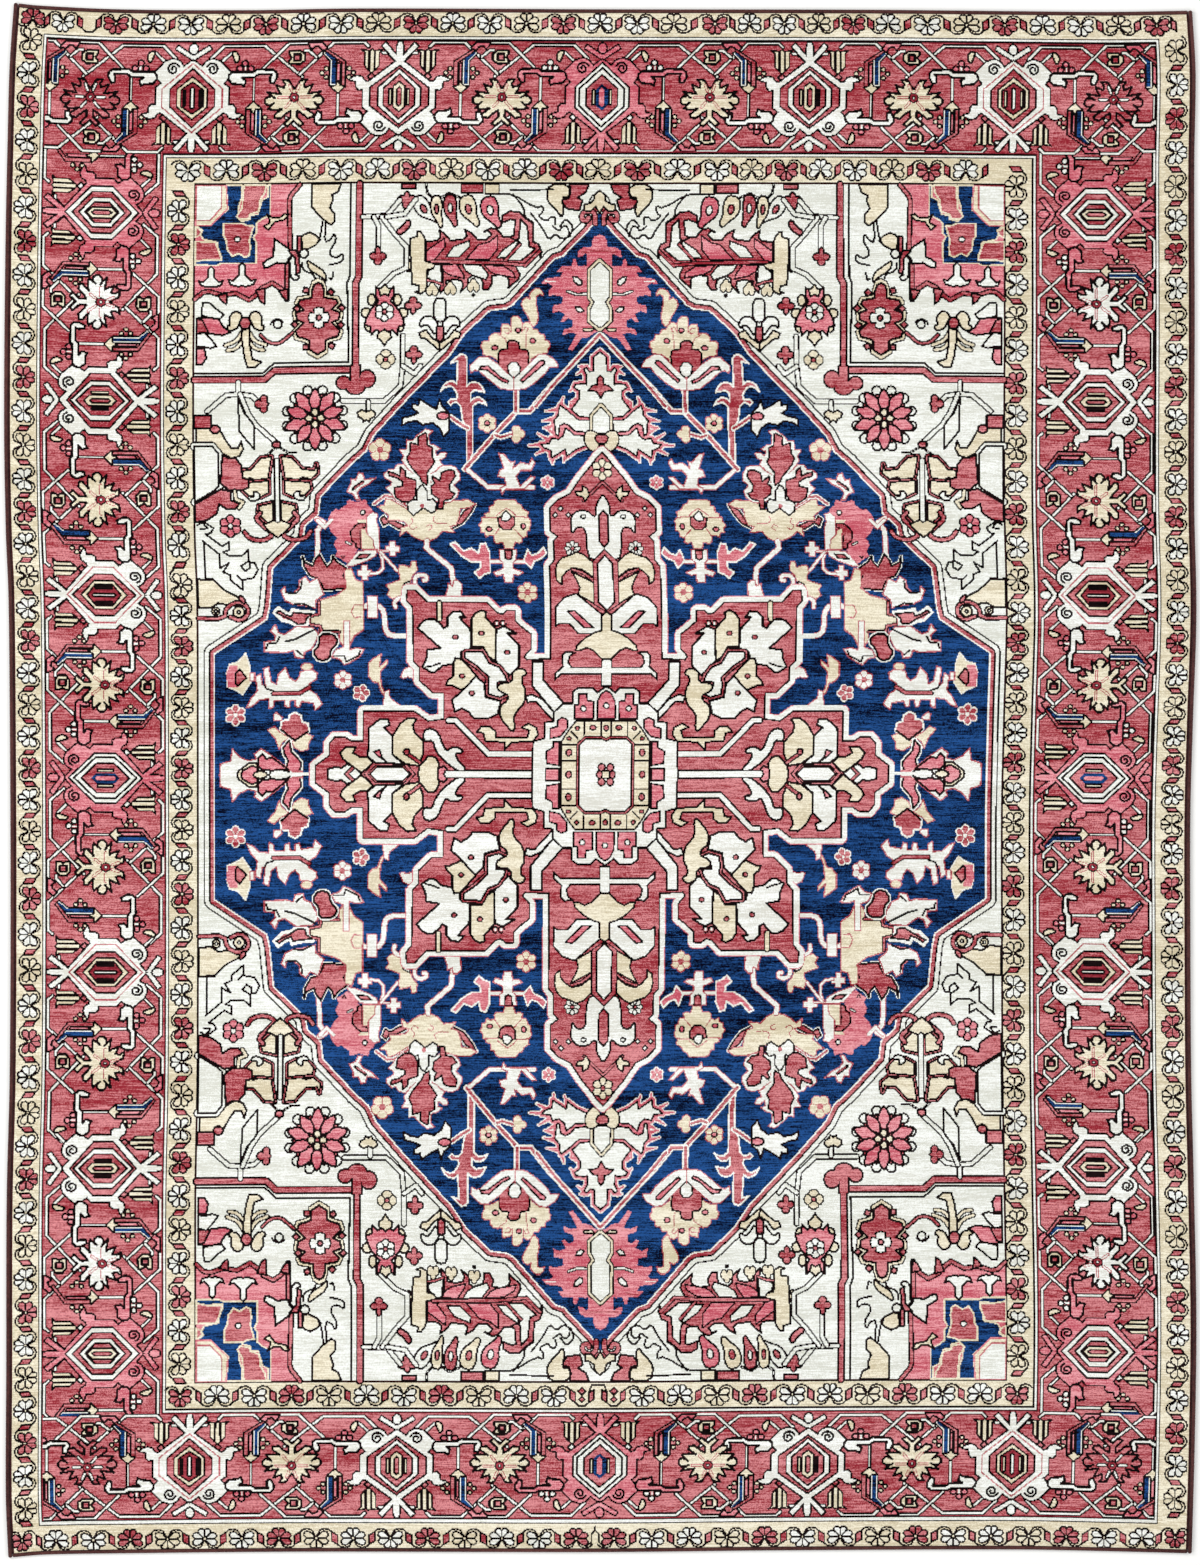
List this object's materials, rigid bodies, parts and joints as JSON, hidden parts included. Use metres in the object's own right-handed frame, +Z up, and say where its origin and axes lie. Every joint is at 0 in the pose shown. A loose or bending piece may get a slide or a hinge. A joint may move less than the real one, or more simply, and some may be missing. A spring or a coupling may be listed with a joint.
{
  "type": "persian rug",
  "caption": "Room-size hand-knotted wool rug lying flat, with a stepped navy medallion, ivory corners, a madder-red main border, overcast sides and bound ends.",
  "frame": {"origin": "bottom centre of the rug's bounding box, on the floor", "axes": "+X to the picture's right across the rug, +Y to the picture's top along its length, +Z up out of the pile"},
  "size_m": [2.754, 3.5906, 0.0095],
  "materials": {
    "wool_pile": "short cut wool pile in madder red, navy, ivory and black, matt with faint horizontal colour steps",
    "selvedge_wool": "dark brown wool wrapped round the side cords, matt",
    "binding_wool": "dark red-brown wool whipped over the ends, slightly fuzzy"
  },
  "bodies": {
    "root": {"carpet_body": "wool_pile", "selvedge_left": "selvedge_wool", "selvedge_right": "selvedge_wool", "binding_near": "binding_wool", "binding_far": "binding_wool"}
  },
  "joints": []
}
